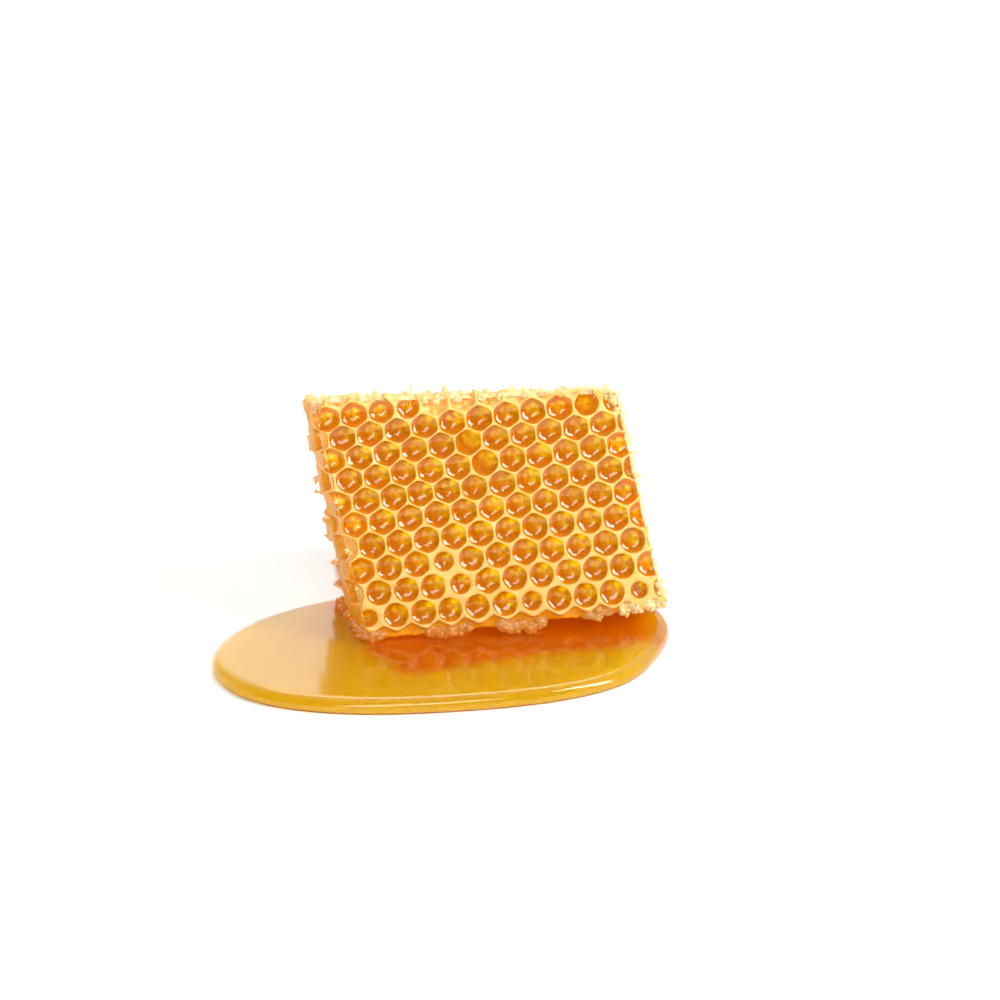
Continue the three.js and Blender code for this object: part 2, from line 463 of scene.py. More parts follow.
def make_wax_half(is_back):
    """One face's cells: rims, walls and three-sided bases, back to just past the middle of the comb."""
    settings = comb_settings()
    thickness = settings.thickness / MM
    bm = bmesh.new()
    row_layer, column_layer = lay_tiles(bm, is_back)
    # The base layer carries painted light: how brightly each cell's base is painted, as if lit through the
    # comb.
    stain, base, tone = (bm.verts.layers.float.new(name) for name in ("stain", "base", "tone"))
    cut_layer = bm.verts.layers.int.new("cut")

    cells = bm.faces[:]
    if not is_back:
        low = [cell for cell in cells if cell[row_layer] < 0]
        torn = [cell for cell in cells if is_torn_shut(cell)]
        cells = [cell for cell in cells if cell[row_layer] >= 0 and not is_torn_shut(cell)]
        sink_clumps(bm, low, row_layer, stain)
        crush(bm, torn, stain)
    step_in(bm, cells, *RIM_RING)
    step_in(bm, cells, *MOUTH_RING)
    for cell in cells:
        round_mouth(cell, min(room_for(cell), mouth_radius(cell[row_layer], cell[column_layer], is_back)))
    paint(cells, stain, RIM_STAIN)
    step_in(bm, cells, *THROAT_RING)
    paint(cells, stain, THROAT_STAIN)

    radius = settings.mouth / MM / 2
    whole = [cell for cell in cells if is_sound(cell, row_layer, is_back)]
    opened = [cell for cell in cells if not is_sound(cell, row_layer, is_back)]
    for cell in cells:
        paint([cell], tone, cell_number(cell[row_layer], cell[column_layer], 3 + is_back))
    depth = settings.cell_depth / MM
    for share in WALL_SHARES:
        step_in(bm, whole, WALL_RING, depth * share)
        paint(whole, stain, 1.0)
        slide(whole, CELL_SLOPE * share, radius)
    step_in(bm, whole, FOOT_RING, depth * FOOT_SHARE)
    shape_bases(bm, whole, base, tone)

    full_depth = thickness / 2 - MIDDLE_WAX
    for _ in range(OPENED_STEPS):
        step_in(bm, opened, OPENED_RING, (full_depth - 0.4) / OPENED_STEPS)
        paint(opened, stain, OPENED_STAIN)
    step_in(bm, opened, FOOT_RING, 0.1)
    shape_bases(bm, opened, base, tone, OPENED_BRIGHTNESS)

    border = [edge for edge in bm.edges if edge.is_boundary]
    walls = bmesh.ops.extrude_edge_only(bm, edges=border)["geom"]
    for vert in only(walls, BMVert):
        vert.co.y = thickness / 2 + HALF_OVERLAP
    rim = [edge for edge in only(walls, BMEdge) if edge.is_boundary]
    bmesh.ops.contextual_create(bm, geom=rim)
    bmesh.ops.recalc_face_normals(bm, faces=bm.faces)
    if is_back:
        face_the_back(bm)
    cut_off(bm, cutting_planes(), cut_layer)
    crease = bm.edges.layers.float.new("crease_edge")
    joint = thickness / 2 + (-HALF_OVERLAP if is_back else HALF_OVERLAP)
    for edge in bm.edges:
        if all(abs(vert.co.y - joint) < WELD for vert in edge.verts):
            edge[crease] = 1
    roughen_cuts(bm, cut_layer, stain, base)
    return placed(bm)


def is_torn_shut(cell):
    """Along the top of the face the knife has closed the cells that it cut."""
    return distance_inside(TOP_CUT, cell.calc_center_median()) < TORN_INSET


def crush(bm, tiles, stain):
    """Makes a rough hollow of a cell that was torn shut."""
    for ring in CRUSHED_RINGS:
        step_in(bm, tiles, *ring)
    edges = edges_of(bmesh.ops.poke(bm, faces=tiles)["faces"])
    inner = bmesh.ops.subdivide_edges(bm, edges=edges, cuts=2)["geom_inner"]
    verts = {vert for edge in edges if edge.is_valid for vert in edge.verts}
    for vert in verts.union(only(inner, BMVert)):
        vert.co.y -= 1.1 * uneven(vert.co, 0.9, 8) + 0.2
        vert[stain] = 0.45 + 1.3 * uneven(vert.co, 1.1, 9)


def sink_clumps(bm, tiles, row_layer, stain):
    """Sets the wax under the lowest row of cells back, and makes it lumpy and soaked."""
    for thickness, depth in SUNK_RINGS:
        bmesh.ops.inset_region(bm, faces=tiles, thickness=thickness, depth=-depth)
    bmesh.ops.subdivide_edges(bm, edges=edges_of(bmesh.ops.poke(bm, faces=tiles)["faces"]), cuts=1)
    for vert in verts_of(face for face in bm.faces if face[row_layer] < 0):
        if vert.co.y > 1:
            vert.co.y -= 0.9 * uneven(vert.co, 4.5, 5) + 0.35 * uneven(vert.co, 1.3, 6) - 0.3
            vert[stain] = 1.0 + 0.3 * uneven(vert.co, 3.0, 7)


def paint(cells, layer, value):
    for cell in cells:
        for vert in cell.verts:
            vert[layer] = value


def slide(cells, offset, radius):
    """Moves the cells' rings sideways, so the cells slope. Those beside a cut side slope less."""
    for cell in cells:
        middle = cell.calc_center_median()
        freedom = min(1, max(0, (inset_of(middle) - radius) / 1.5))
        for vert in cell.verts:
            vert.co += offset * freedom


def facet_height(spoke, turn):
    """How far a cell's base rises round its deepest point: three slanted facets meet there."""
    angle = math.atan2(spoke.z, spoke.x) - turn
    sector = (angle + math.pi / 3) % (2 * math.pi / 3) - math.pi / 3
    return BASE_SLOPE * spoke.length * math.cos(sector)


def shape_bases(bm, cells, base, tone, brightness=1.0):
    """Closes each cell with three slanted facets and paints light on them: a bright middle and dark seams on
    each facet, brightest on the side towards the light.
    """
    for is_inner in (False, True):
        if is_inner:
            step_in(bm, cells, INNER_RING, 0)
        for cell in cells:
            middle = cell.calc_center_median()
            value = cell.verts[0][tone]
            turn = FACET_TURN + FACET_TURN_SPREAD * value
            strength = brightness * (0.65 + 0.7 * (7.3 * value % 1))
            for vert in cell.verts:
                spoke = vert.co - middle
                angle = math.atan2(spoke.z, spoke.x)
                lobe = abs(math.cos(1.5 * (angle - turn)))
                towards_light = 0.5 + 0.5 * math.cos(angle - BRIGHT_SIDE)
                vert.co.y -= facet_height(spoke, turn)
                if is_inner:
                    vert.co.y += facet_height(spoke.normalized() * INNER_RING, turn)
                    # Painted light through the base: bright in each facet's middle, dark at its seams,
                    # brightest on the side towards BRIGHT_SIDE.
                    vert[base] = (0.15 + 0.85 * lobe) * (0.25 + 0.75 * towards_light) * strength
                else:
                    vert[base] = 0.25 * lobe * towards_light * strength
    for cell in cells:
        value = cell.verts[0][tone]
        tip = bmesh.ops.poke(bm, faces=[cell])["verts"][0]
        tip[base] = TIP_BRIGHTNESS * brightness
        tip[tone] = value


def roughen_cuts(bm, cut_layer, stain, base):
    """Makes the cut sides ragged, as a knife leaves soft wax: most of all along the top."""
    planes = cutting_planes()
    for vert in bm.verts:
        number = vert[cut_layer]
        inset = min((point - vert.co).dot(outwards) for point, outwards in planes)
        # Fades the painted light at the cells' bases close to a cut.
        vert[base] *= min(1, max(0, inset / DIM_NEAR_CUT))
        if number == 0 or number == len(planes):
            continue
        least, coarse, fine = RISES.get(number, OTHER_RISE)
        bite = least + coarse * uneven(vert.co, 2.4, 1) + fine * uneven(vert.co, 0.9, 2)
        vert.co += planes[number - 1][1] * bite
        soaked = SIDE_STAIN
        if number in (LEFT_CUT, UPPER_LEFT_CUT):
            soaked = LEFT_STAIN + 0.6 * max(0, 1 - vert.co.z / 18)
        elif number == len(planes) - 1:
            soaked = UNDERSIDE_STAIN
        patches = 0.4 * uneven(vert.co, 3.0, 4) + 0.3 * uneven(vert.co, 1.3, 11)
        vert[stain] = soaked + patches - 0.25 * max(0, bite)
        corner = in_plan(TOP_LEFT, vert.co.y)
        vert.co += Vector((0.8, 0, -0.9)) * max(0, 1 - (vert.co - corner).length / CORNER_ROUNDING)


# ---- The honey in the cells ----

WALL_HALF = 0.13
RISE = 0.3
PLUG_DEPTH = 6.5
EDGE_PLUG_DEPTH = 10.6
EDGE_INSET = 2.6
HONEY_WAVES = 0.09
# Rings of a plug's hollow top, and of a smear's: width, and depth under the last one.
PLUG_RINGS = ((0.12, 0.10), (0.45, 0.30), (0.55, 0.25), (0.60, 0.15))
BRIM_SINK = 0.02
SMEAR_RINGS = ((0.25, 0.25), (0.5, 0.35), (0.6, 0.15), (0.5, 0.05))
SMEAR_LEVEL = 0.45
SMEAR_DEPTH = 2.4


def is_sound(tile, row_layer, is_back):
    """Whether a cell is whole enough to hold its honey. The honey has run out of the ones cut open."""
    sunk = tile[row_layer] < 0 and not is_back
    return not sunk and not is_torn_shut(tile) and inset_of(tile.calc_center_median()) > SOUND_INSET


def is_smeared(tile, row_layer, is_back):
    """Whether the knife smeared wax into a cell that it cut open on the left."""
    middle = tile.calc_center_median()
    inner = distance_inside(TOP_CUT, middle) > 1 and middle.z > 1
    return inner and tile[row_layer] in SMEARED_ROWS and -3 < distance_inside(LEFT_CUT, middle) < SOUND_INSET


def is_full(tile, row_layer, is_back):
    """Whether a cell holds honey: the sound ones, and those that are only just cut open at a side."""
    if is_sound(tile, row_layer, is_back):
        return True
    if is_torn_shut(tile) or inset_of(tile.calc_center_median()) < LOST_INSET:
        return False
    return is_back or tile[row_layer] >= 0 and not is_smeared(tile, row_layer, is_back)


def keep_only(bm, kept):
    """Deletes every other face."""
    kept = set(kept)
    bmesh.ops.delete(bm, geom=[face for face in bm.faces if face not in kept], context="FACES")


def lay_plugs(bm, is_back, is_wanted):
    """The mouths of the wanted cells, each a face of its own."""
    row_layer, column_layer = lay_tiles(bm, is_back)
    plugs = [tile for tile in bm.faces if is_wanted(tile, row_layer, is_back)]
    keep_only(bm, plugs)
    step_in(bm, plugs, WALL_HALF, 0)
    keep_only(bm, plugs)
    for plug in plugs:
        radius = mouth_radius(plug[row_layer], plug[column_layer], is_back)
        round_mouth(plug, min(room_for(plug), radius) + 0.02)
    return plugs, row_layer, column_layer


def thicken(bm, plugs):
    """Gives each mouth a front. The old faces are the backs."""
    backs = {vert for plug in plugs for vert in plug.verts}
    return backs, only(bmesh.ops.extrude_face_region(bm, geom=plugs)["geom"], BMFace)


def make_cell_honey():
    """A closed plug of honey for each cell, with a hollow top where it clings to the wax."""
    settings = comb_settings()
    level = settings.honey_level / MM
    whole_comb = bmesh.new()
    for is_back in (False, True):
        bm = bmesh.new()
        plugs, row_layer, column_layer = lay_plugs(bm, is_back, is_full)
        tone = bm.verts.layers.float.new("tone")
        for plug in plugs:
            row, column = plug[row_layer], plug[column_layer]
            brimming = not is_back and (row, column) in BRIMMING_CELLS
            rise = RISE if brimming else RISE * (cell_number(row, column, 5 + is_back) - 0.5)
            value = cell_number(row, column, 7 + is_back)
            for vert in plug.verts:
                vert.co.y = level - rise
                vert[tone] = value
        backs, tops = thicken(bm, plugs)
        for vert in backs:
            vert.co.y += PLUG_DEPTH if inset_of(vert.co) > EDGE_INSET else EDGE_PLUG_DEPTH
        flat = [top for top in tops if not is_back and (top[row_layer], top[column_layer]) in BRIMMING_CELLS]
        hollow = [top for top in tops if top not in flat]
        for thickness, sink in PLUG_RINGS:
            step_in(bm, hollow, thickness, sink)
            step_in(bm, flat, thickness, BRIM_SINK)
        bmesh.ops.poke(bm, faces=tops, offset=-0.05)
        for vert in bm.verts:
            if vert.co.y < 4 and vert not in backs:
                vert.co.y += HONEY_WAVES * uneven(vert.co, 1.1, 12)
        bmesh.ops.recalc_face_normals(bm, faces=bm.faces)
        if is_back:
            face_the_back(bm)
        add_to(whole_comb, bm)
    cut_off(whole_comb, cutting_planes(inset=0.3))
    return placed(whole_comb)


def make_smears():
    """Wax that the knife smeared into the cells that it cut open on the left."""
    bm = bmesh.new()
    plugs, _, _ = lay_plugs(bm, False, is_smeared)
    for vert in bm.verts:
        vert.co.y = SMEAR_LEVEL
    backs, fronts = thicken(bm, plugs)
    for vert in backs:
        vert.co.y += SMEAR_DEPTH
    for ring in SMEAR_RINGS:
        step_in(bm, fronts, *ring)
    bmesh.ops.poke(bm, faces=fronts)
    stain = bm.verts.layers.float.new("stain")
    for vert in bm.verts:
        vert[stain] = 0.35 + 0.6 * uneven(vert.co, 1.2, 15)
        if vert.co.y < 2:
            vert.co.y += 0.35 * uneven(vert.co, 1.0, 14)
    bmesh.ops.recalc_face_normals(bm, faces=bm.faces)
    cut_off(bm, cutting_planes(inset=0.1))
    return placed(bm)


# ---- Torn wax and crumbs ----


def add_flake(bm, place, up, width, height, rng):
    """One thin torn bit of wax that stands at a place: wide at its foot, curled, with a ragged tip."""
    flake = bmesh.new()
    bmesh.ops.create_grid(flake, x_segments=3, y_segments=3, size=0.5)
    curl = rng.uniform(-0.5, 0.5)
    seed = rng.uniform(0, 50)
    for vert in flake.verts:
        across, along = vert.co.x, vert.co.y + 0.5
        taper = 1 - 0.65 * along ** 1.5
        tear = 1 + 0.5 * uneven((across * 3, along, seed), 0.8)
        vert.co = Vector((
            across * width * taper, height * curl * along ** 2 + 0.2 * uneven((across, along, seed), 0.4),
            along * height * tear,
        ))
    bmesh.ops.solidify(flake, geom=flake.faces[:], thickness=FLAKE_THICKNESS)
    turn = Matrix.Rotation(rng.uniform(-1.2, 1.2), 4, "Z")
    tip = Matrix.Rotation(rng.uniform(-0.5, 0.5), 4, "Y") @ Matrix.Rotation(rng.uniform(-0.5, 0.5), 4, "X")
    stand = Vector((0, 0, 1)).rotation_difference(up).to_matrix().to_4x4()
    flake.transform(Matrix.Translation(place) @ stand @ tip @ turn)
    add_to(bm, flake)


def add_to(bm, piece):
    """Moves a small mesh into a bigger one."""
    mesh = bpy.data.meshes.new("bit")
    piece.to_mesh(mesh)
    piece.free()
    bm.from_mesh(mesh)
    bpy.data.meshes.remove(mesh)


TOP_SIDE, RIGHT_SIDE, LEFT_SIDE = (TOP_LEFT, TOP_RIGHT), (TOP_RIGHT, BOTTOM_RIGHT), (TOP_LEFT, BOTTOM_LEFT)
# Where loose bits of wax stand: the cut side, how many, how high, and how deep they spread.
TORN_EDGES = (
    (TOP_SIDE, 26, 1.8, 3), (TOP_SIDE, 60, 1.3, 24), (RIGHT_SIDE, 30, 1.3, 4),
    (RIGHT_SIDE, 30, 1.0, 24), (LEFT_SIDE, 12, 0.9, 3), (LEFT_SIDE, 26, 0.9, 24),
)
# Torn edges of cell walls: the cut side, how deep in the comb, and how high the spikes are.
TORN_STRIPS = (
    (TOP_SIDE, 0.9, 2.6), (TOP_SIDE, 2.2, 2.2), (TOP_SIDE, 6.0, 1.6), (TOP_SIDE, 12.6, 1.5),
    (TOP_SIDE, 18.5, 1.4), (TOP_SIDE, 24.6, 1.8), (RIGHT_SIDE, 0.35, 1.6), (RIGHT_SIDE, 3.0, 1.2),
    (RIGHT_SIDE, 24.6, 1.0),
)
FLAKE_THICKNESS = 0.13
STRIP_THICKNESS = 0.14
STRIP_STEPS_PER_MM = 4.5
SPIKE_STEP = 3.2
STRIP_FOOT = 0.2


def outwards_between(start, end):
    """Outward direction, in the comb's plan, of the cut side between two corners."""
    along = end - start
    outwards = Vector((-along.y, along.x)).normalized()
    if outwards.dot(start + end - BOTTOM_RIGHT - TOP_LEFT) < 0:
        outwards = -outwards
    return in_plan(outwards)


def add_torn_strip(bm, start, end, depth, height):
    """The torn edge of a row of cell walls: spikes where walls met, and hollow arcs between them."""
    along = end - start
    strip = bmesh.new()
    bmesh.ops.create_grid(strip, x_segments=int(along.length * STRIP_STEPS_PER_MM), y_segments=4, size=0.5)
    for vert in strip.verts:
        travel = (vert.co.x + 0.5) * along.length
        level = vert.co.y + 0.5
        phase = travel / SPIKE_STEP + 0.9 * uneven((travel, depth, height), 4.0)
        spike = abs(math.cos(math.pi * phase)) ** 4
        share = 0.25 + 1.6 * uneven((travel, depth * 3, 5.0), 3.0)
        ragged = 0.6 * uneven((travel, depth, 9.0), 0.45) + 0.8 * uneven((travel, depth, 7.0), 1.4)
        rise = max(0.02, height * (0.1 + 0.9 * spike * max(0, share)) + ragged)
        sway = 0.7 * uneven((travel, depth, 2.0), 2.5)
        sway += level * rise * 0.6 * uneven((travel, depth, 4.0), 1.8)
        vert.co = Vector((travel, sway, level * (rise + STRIP_FOOT) - STRIP_FOOT))
    bmesh.ops.solidify(strip, geom=strip.faces[:], thickness=STRIP_THICKNESS)
    side = in_plan(along).normalized()
    up = outwards_between(start, end)
    turn = Matrix((side, Vector((0, 1, 0)), up)).transposed().to_4x4()
    strip.transform(Matrix.Translation(in_plan(start, depth)) @ turn)
    add_to(bm, strip)


def make_torn_walls():
    """The torn edges of the cell walls along the cut sides."""
    bm = bmesh.new()
    for (start, end), depth, height in TORN_STRIPS:
        add_torn_strip(bm, start, end, depth, height)
    cut_off(bm, cutting_planes()[-2:])
    return placed(bm)


def make_flakes():
    """Loose bits of torn wax that stand up along the cut sides."""
    rng = Random(SEED)
    bm = bmesh.new()
    for (start, end), count, height, spread in TORN_EDGES:
        along = end - start
        up = outwards_between(start, end)
        for index in range(count):
            foot = start + along * (index + rng.random()) / count
            depth = 0.3 + spread * rng.random() ** 1.3
            size = rng.uniform(0.4, 1.0)
            place = in_plan(foot, depth) - 0.3 * up
            add_flake(bm, place, up, height * rng.uniform(0.6, 1.4), height * size, rng)
    return placed(bm)


# Lumps of soaked wax: middle along the face, up it and into the comb, and size, in millimetres.
LUMPS = (
    (12.5, 0.9, 1.6, 1.2), (14.3, 0.3, 1.6, 1.5), (16.0, 0.4, 1.5, 1.5), (17.8, 0.9, 1.7, 1.4),
    (19.6, 1.4, 2.0, 1.2), (26.5, 1.6, 1.3, 1.4), (28.2, 1.0, 1.5, 1.5), (30.0, 0.8, 1.5, 1.5),
    (32.0, 0.6, 1.3, 1.6), (34.2, 1.6, 1.4, 1.4), (44.0, 2.7, 1.2, 1.2), (45.8, 2.6, 1.0, 1.3),
    (47.6, 3.0, 1.4, 1.2), (0.3, 0.9, 0.9, 1.3), (1.5, 0.3, 0.9, 1.4), (2.6, 0.8, 1.2, 1.0),
    (-0.4, 0.3, 2.6, 1.4), (-0.4, 1.9, 1.8, 1.0),
    (-0.7, 0.5, 5.0, 1.5), (-1.0, 1.6, 7.5, 1.5), (-1.6, 2.2, 10.5, 1.6), (-2.1, 3.1, 14.0, 1.6),
    (-2.8, 4.3, 18.0, 1.5), (-3.5, 5.6, 22.0, 1.4),
)
PALE_LUMPS = (
    (51.0, 3.2, 1.2, 1.3), (53.2, 3.6, 1.0, 1.4), (55.2, 3.9, 1.2, 1.4), (57.2, 4.2, 1.3, 1.4),
    (58.4, 5.8, 1.4, 1.2), (57.9, 8.0, 1.0, 1.0), (50.6, 44.6, 1.0, 1.2), (49.0, 45.6, 1.4, 1.1),
    (47.2, 46.2, 1.6, 1.0),
    (50.9, 42.6, 0.8, 0.8), (13.0, 46.0, 0.7, 0.7), (15.5, 46.2, 0.8, 0.9), (19.6, 46.1, 0.6, 0.8),
    (24.2, 46.2, 0.8, 0.9), (28.0, 46.1, 0.7, 0.8), (33.0, 46.3, 0.9, 0.7), (38.0, 46.3, 0.8, 0.6),
)
GRAINS = 14


def make_lumps(lumps):
    """Crumbly lumps: each is a cluster of rough grains of wax."""
    rng = Random(SEED + 1)
    bm = bmesh.new()
    for u, v, depth, size in lumps:
        for _ in range(GRAINS):
            out = Vector((rng.uniform(-1, 1), rng.uniform(-1, 0.6), rng.uniform(-1, 1)))
            radius = size * rng.uniform(0.28, 0.58)
            grain = bmesh.new()
            bmesh.ops.create_icosphere(grain, subdivisions=2, radius=1)
            for vert in grain.verts:
                vert.co *= radius * (1 + 0.9 * uneven(vert.co, 0.7, out.x * 9))
            wide, deep, high = (rng.uniform(0.7, most) for most in (1.4, 1.2, 1.3))
            stretch = Matrix.Diagonal((wide, deep, high, 1))
            grain.transform(Matrix.Translation(Vector((u, depth, v)) + out * size * 0.6) @ stretch)
            add_to(bm, grain)
    return placed(bm)


# Threads of wax that lie in the honey: points in millimetres in front of the comb's lower left corner.
THREADS = (
    ((1.5, -2.2), (4.0, -3.6), (6.2, -7.2), (9.0, -8.6), (11.2, -6.6), (12.0, -3.0)),
    ((13.0, -3.6), (15.6, -4.0), (17.6, -7.0), (17.0, -11.0), (15.4, -12.4)),
    ((20.0, -9.5), (21.2, -8.6), (21.4, -7.4)),
    ((5.2, -11.0), (6.4, -10.4), (7.6, -10.8)),
)
THREAD_RADIUS = 0.055


def make_threads():
    """Fine curled threads that lie on the pool."""
    _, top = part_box("honey_pool")
    bm = bmesh.new()
    for route in THREADS:
        curve = bpy.data.curves.new("thread", "CURVE")
        curve.dimensions = "3D"
        curve.bevel_depth = THREAD_RADIUS
        curve.bevel_resolution = 1
        curve.use_fill_caps = True
        spline = curve.splines.new("NURBS")
        spline.points.add(len(route) - 1)
        spline.use_endpoint_u = True
        spline.order_u = 4
        for point, (x, y) in zip(spline.points, route):
            point.co = (x, y, 0.03 + 0.12 * abs(uneven((x, y, 0), 2.0)), 1)
        holder = bpy.data.objects.new("thread", curve)
        bm.from_mesh(holder.to_mesh())
        holder.to_mesh_clear()
        bpy.data.objects.remove(holder)
        bpy.data.curves.remove(curve)
    bm.transform(Matrix.Translation(comb_corner(top.z)) @ Matrix.Scale(MM, 4))
    return bm


# ---- The pool ----

ROUTE_STEPS = 12
ROUTE_SMOOTHING = 30
BULGE = 0.05
RIM_STEPS = 8
RIM_SPREAD = 1.25
UNDERCUT_HEIGHT = 0.55
UNDERCUT_WIDTH = 0.35
UNDERCUT_DEPTH = 0.53

# Painted shadow of the comb on the pool: the slant of its front edge, how soft it is, its left edge, and how
# much it lightens towards the right.
SHADE_SLANT = 0.15
SHADE_FADE = 5 * MM
LEFT_SHADE_SLANT = 0.3
LEFT_SHADE_START = 6 * MM
RIGHT_LIGHT = 0.7
RIGHT_LIGHT_START = 8 * MM
RIGHT_LIGHT_FADE = 10 * MM

POOL_OUTLINE = (
    (-30.8, -4), (-24.5, -18.6), (-8, -26.8), (12, -28.6), (33, -26.9), (48.5, -20), (56.5, -7),
    (61, 6), (55, 21), (36, 29.5), (12, 29.5), (-12, 22.8), (-26.5, 10.5),
)


def smooth_route(points, steps):
    """Points along a closed smooth curve through the given ones."""
    route = []
    count = len(points)
    for index in range(count):
        before, start, end, after = (Vector(points[(index + shift) % count]) for shift in (-1, 0, 1, 2))
        for step in range(steps):
            t = step / steps
            route.append(0.5 * (
                2 * start + (end - before) * t
                + (2 * before - 5 * start + 4 * end - after) * t ** 2
                + (3 * start - before - 3 * end + after) * t ** 3
            ))
    return route


def make_pool():
    """A flat puddle with a rounded rim. Its top falls away and its side bulges a little."""
    settings = pool_settings()
    height = settings.height / MM
    rim = settings.rim_radius / MM
    route = smooth_route(POOL_OUTLINE, ROUTE_STEPS)
    for _ in range(ROUTE_SMOOTHING):
        route = [(2 * place + route[index - 1] + route[(index + 1) % len(route)]) / 4
                 for index, place in enumerate(route)]
    bm = bmesh.new()
    ring = bmesh.ops.create_circle(bm, segments=len(route), radius=1)["verts"]
    for vert, place in zip(ring, route):
        vert.co = Vector((place.x, place.y, height - rim - BULGE))
    bottom = bmesh.ops.contextual_create(bm, geom=ring)["faces"]
    top = only(bmesh.ops.extrude_face_region(bm, geom=bottom, use_keep_orig=True)["geom"], BMFace)
    for vert in top[0].verts:
        vert.co.z += BULGE
    bmesh.ops.recalc_face_normals(bm, faces=bm.faces)
    for step in range(RIM_STEPS):
        before, after = (math.radians(90) * (step + shift) / RIM_STEPS for shift in (0, 1))
        rise = rim * (math.sin(after) - math.sin(before))
        run = rim * RIM_SPREAD * (math.cos(before) - math.cos(after))
        bmesh.ops.inset_region(bm, faces=top, thickness=run, depth=rise, use_even_offset=False)
    bmesh.ops.inset_region(bm, faces=top, thickness=1.0, depth=0.0)
    for thickness, depth in ((0.0, height - rim - UNDERCUT_HEIGHT), (UNDERCUT_WIDTH, UNDERCUT_DEPTH)):
        bmesh.ops.inset_region(bm, faces=bottom, thickness=thickness, depth=depth)
    bmesh.ops.recalc_face_normals(bm, faces=bm.faces)
    bm.transform(Matrix.Translation(comb_corner(0)) @ Matrix.Scale(MM, 4))
    return bm


# ---- Materials ----

HONEY_INDEX = 1.49
DARK = (0, 0, 0)
# The Mix node's sockets for colours.
MIX_FACTOR, MIX_FIRST, MIX_SECOND = 0, 6, 7
MIX_COLOR = 2


class Value:
    """A shader socket that Python's operators work on, each adding a Math node."""

    def __init__(self, shader, socket):
        self.shader = shader
        self.socket = socket

    def _math(self, operation, first, second):
        return self.shader.node("ShaderNodeMath", {"operation": operation}, {0: first, 1: second})

    def __add__(self, other):
        return self._math("ADD", self, other)

    __radd__ = __add__

    def __sub__(self, other):
        return self._math("SUBTRACT", self, other)

    def __rsub__(self, other):
        return self._math("SUBTRACT", other, self)

    def __mul__(self, other):
        return self._math("MULTIPLY", self, other)

    __rmul__ = __mul__

    def clamped(self):
        return self.shader.node("ShaderNodeClamp", {}, {"Value": self})


class Shader:
    """The nodes of a material or of the room's light, made and linked one call at a time."""

    def __init__(self, owner):
        self.owner = owner
        owner.use_nodes = True
        self.tree = owner.node_tree
        self.tree.nodes.clear()

    def node(self, kind, settings, inputs, output=0):
        node = self.tree.nodes.new(kind)
        for name, value in settings.items():
            setattr(node, name, value)
        for name, value in inputs.items():
            if isinstance(value, Value):
                self.tree.links.new(value.socket, node.inputs[name])
            else:
                node.inputs[name].default_value = value
        return Value(self, node.outputs[output])

    def attribute(self, name):
        return self.node("ShaderNodeAttribute", {"attribute_name": name}, {}, "Fac")

    def place(self):
        return self.node("ShaderNodeTexCoord", {}, {}, "Object")

    def axis(self, vector, name):
        return self.node("ShaderNodeSeparateXYZ", {}, {"Vector": vector}, name)

    def noise(self, size, detail):
        """Noise from 0 to 1, with bumps of about the given size in metres."""
        inputs = {"Vector": self.place(), "Scale": 1 / size, "Detail": detail}
        return self.node("ShaderNodeTexNoise", {}, inputs)

    def ramp(self, value, start, end, low=0.0, high=1.0):
        """Goes smoothly from low to high as a value goes from start to end."""
        inputs = {"Value": value, "From Min": start, "From Max": end, "To Min": low, "To Max": high}
        return self.node("ShaderNodeMapRange", {"interpolation_type": "SMOOTHSTEP"}, inputs)

    def ramp_up(self, value, start, width):
        """Rises smoothly from 0 at the start to 1 a width further on."""
        return self.ramp(value - start, 0.0, width)

    def mix(self, factor, first, second):
        """A colour between two, as (r, g, b) or a socket."""
        first, second = (part if isinstance(part, Value) else (*part, 1) for part in (first, second))
        inputs = {MIX_FACTOR: factor, MIX_FIRST: first, MIX_SECOND: second}
        return self.node("ShaderNodeMix", {"data_type": "RGBA"}, inputs, MIX_COLOR)

    def bump(self, height):
        return self.node("ShaderNodeBump", {}, {"Height": height, "Distance": 0.05 * MM, "Strength": 0.5})

    def finish(self, settings, glow=None, volume=None):
        """The surface, how it glows and what fills it, from the Principled shader's inputs."""
        if glow is not None:
            settings = {**settings, "Emission Color": glow, "Emission Strength": 1.0}
        surface = self.node("ShaderNodeBsdfPrincipled", {}, settings)
        output = self.tree.nodes.new("ShaderNodeOutputMaterial")
        self.tree.links.new(surface.socket, output.inputs["Surface"])
        if volume is not None:
            inside = self.node("ShaderNodeVolumeAbsorption", {}, volume)
            self.tree.links.new(inside.socket, output.inputs["Volume"])
        return self.owner


